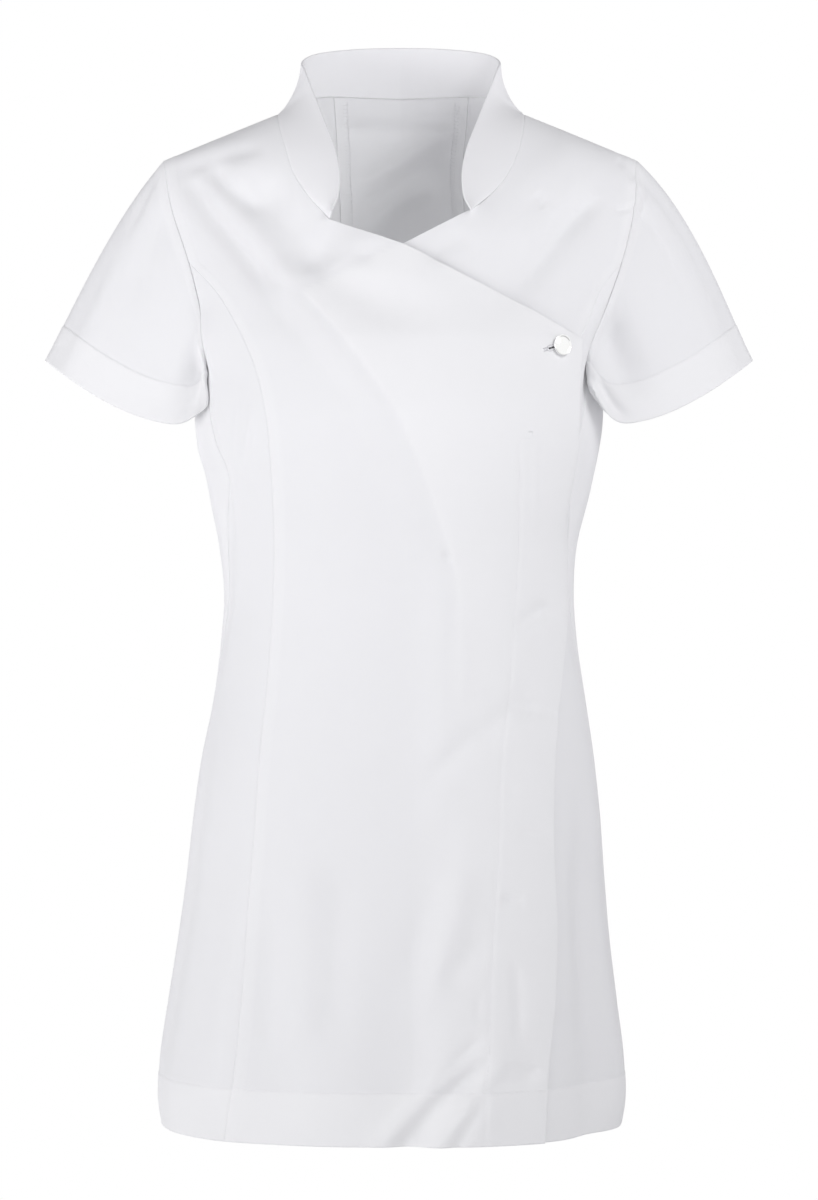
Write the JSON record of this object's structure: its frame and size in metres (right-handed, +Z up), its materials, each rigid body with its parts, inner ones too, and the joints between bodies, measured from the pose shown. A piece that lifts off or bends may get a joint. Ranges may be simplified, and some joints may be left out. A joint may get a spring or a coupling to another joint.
{
  "type": "beautician tunic",
  "caption": "White short-sleeved wrap-front beautician tunic, worn form with no wearer: stand collar, slanting neckline, princess seams and a round metal button.",
  "frame": {"origin": "where the wearer's shoulders carry it: on the midline, level with the points where the shoulder seams meet the neck seam", "axes": "+Z up, -Y towards the front, +X towards the wearer's left"},
  "size_m": [0.5526, 0.2514, 0.8466],
  "materials": {
    "cloth": "matt white woven polyester with a fine twill",
    "metal": "polished"
  },
  "bodies": {
    "root": {"right_front": "cloth", "left_front": "cloth", "right_side_front": "cloth", "left_side_front": "cloth", "back": "cloth", "right_side_back": "cloth", "left_side_back": "cloth", "right_sleeve": "cloth", "left_sleeve": "cloth", "collar": "cloth", "button": "metal"}
  },
  "joints": []
}
